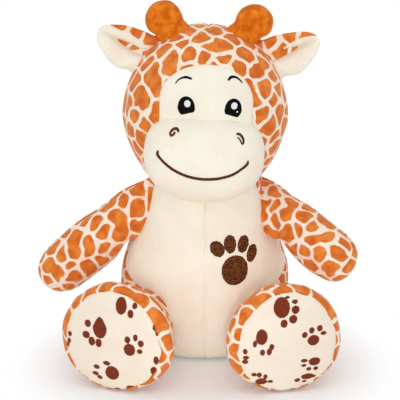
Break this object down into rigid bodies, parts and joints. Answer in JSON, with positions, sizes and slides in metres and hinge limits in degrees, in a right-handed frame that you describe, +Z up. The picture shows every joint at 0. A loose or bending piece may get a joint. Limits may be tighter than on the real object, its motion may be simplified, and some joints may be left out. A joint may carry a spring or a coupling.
{
  "type": "plush giraffe toy",
  "caption": "Sitting plush giraffe with a patch-print coat, cream belly and muzzle, two horns, soft ears, swinging arms and legs and paw-print soles.",
  "frame": {"origin": "centre of the flat seat, on the surface that the toy sits on", "axes": "+Z up; the toy looks along -Y; +X is the toy's own left side"},
  "size_m": [0.2368, 0.1642, 0.2677],
  "materials": {
    "printed_plush": "matte",
    "cream_plush": "matte",
    "sole_plush": "matte",
    "horn_plush": "matte",
    "black_thread": "satin",
    "white_thread": "satin",
    "brown_thread": "satin",
    "fibre_fill": "matte",
    "pellet_cloth": "matte"
  },
  "bodies": {
    "torso": {"belly_left": "cream_plush", "belly_right": "cream_plush", "back_left": "printed_plush", "back_right": "printed_plush", "seat_panel": "cream_plush", "torso_stuffing": "fibre_fill", "pellet_bag": "pellet_cloth", "paw_pad": "brown_thread", "paw_toe_1": "brown_thread", "paw_toe_2": "brown_thread", "paw_toe_3": "brown_thread", "paw_toe_4": "brown_thread"},
    "neck": {"neck_stuffing": "fibre_fill"},
    "head": {"head_left": "printed_plush", "head_right": "printed_plush", "forehead_panel": "cream_plush", "muzzle": "cream_plush", "head_stuffing": "fibre_fill", "muzzle_stuffing": "fibre_fill", "eye_left": "black_thread", "eye_right": "black_thread", "eye_glint_left": "white_thread", "eye_glint_right": "white_thread", "brow_left": "black_thread", "brow_right": "black_thread", "nostril_left": "brown_thread", "nostril_right": "brown_thread", "smile": "brown_thread"},
    "ear_left": {"ear_back_left": "printed_plush", "ear_lining_left": "cream_plush"},
    "horn_left": {"horn_cover_left": "horn_plush", "horn_stuffing_left": "fibre_fill"},
    "arm_left": {"arm_front_left": "printed_plush", "arm_back_left": "printed_plush", "arm_stuffing_left": "fibre_fill"},
    "leg_left": {"leg_left": "printed_plush", "sole_left": "sole_plush", "leg_stuffing_left": "fibre_fill"},
    "ear_right": {"ear_back_right": "printed_plush", "ear_lining_right": "cream_plush"},
    "horn_right": {"horn_cover_right": "horn_plush", "horn_stuffing_right": "fibre_fill"},
    "arm_right": {"arm_front_right": "printed_plush", "arm_back_right": "printed_plush", "arm_stuffing_right": "fibre_fill"},
    "leg_right": {"leg_right": "printed_plush", "sole_right": "sole_plush", "leg_stuffing_right": "fibre_fill"}
  },
  "joints": [
    {"name": "head_turn", "type": "hinge", "parent": "torso", "child": "neck", "pos_m": [0, 0, 0.1221], "axis": [0, 0, 1], "range_deg": [-20, 20], "stiffness_Nm_per_rad": 0.4},
    {"name": "head_nod", "type": "hinge", "parent": "neck", "child": "head", "pos_m": [0, 0, 0.1221], "axis": [1, 0, 0], "range_deg": [-6, 6], "stiffness_Nm_per_rad": 0.8},
    {"name": "ear_left_flop", "type": "hinge", "parent": "head", "child": "ear_left", "pos_m": [0.05003, -0.002, 0.22589], "axis": [0.5834, 0, -0.8122], "range_deg": [-25, 25], "stiffness_Nm_per_rad": 0.02},
    {"name": "ear_right_flop", "type": "hinge", "parent": "head", "child": "ear_right", "pos_m": [-0.04634, -0.002, 0.22976], "axis": [0.6466, 0, 0.7628], "range_deg": [-25, 25], "stiffness_Nm_per_rad": 0.02},
    {"name": "horn_left_bend", "type": "hinge", "parent": "head", "child": "horn_left", "pos_m": [0.02991, -0.002, 0.24141], "axis": [1, 0, 0], "range_deg": [-12, 12], "stiffness_Nm_per_rad": 0.03},
    {"name": "horn_right_bend", "type": "hinge", "parent": "head", "child": "horn_right", "pos_m": [-0.02504, -0.002, 0.24362], "axis": [1, 0, 0], "range_deg": [-12, 12], "stiffness_Nm_per_rad": 0.03},
    {"name": "arm_left_swing", "type": "hinge", "parent": "torso", "child": "arm_left", "pos_m": [0.04879, -0.01, 0.1118], "axis": [-0.952, 0, -0.3062], "range_deg": [-36, 8], "stiffness_Nm_per_rad": 0.15},
    {"name": "arm_right_swing", "type": "hinge", "parent": "torso", "child": "arm_right", "pos_m": [-0.04879, -0.01, 0.1118], "axis": [-0.952, 0, 0.3062], "range_deg": [-20, 45], "stiffness_Nm_per_rad": 0.15},
    {"name": "leg_left_lift", "type": "hinge", "parent": "torso", "child": "leg_left", "pos_m": [0.044, -0.03222, 0.036], "axis": [-0.9759, -0.2181, 0], "range_deg": [-10, 12], "stiffness_Nm_per_rad": 0.4},
    {"name": "leg_right_lift", "type": "hinge", "parent": "torso", "child": "leg_right", "pos_m": [-0.044, -0.03222, 0.036], "axis": [-0.9438, 0.3305, 0], "range_deg": [-10, 12], "stiffness_Nm_per_rad": 0.4}
  ]
}
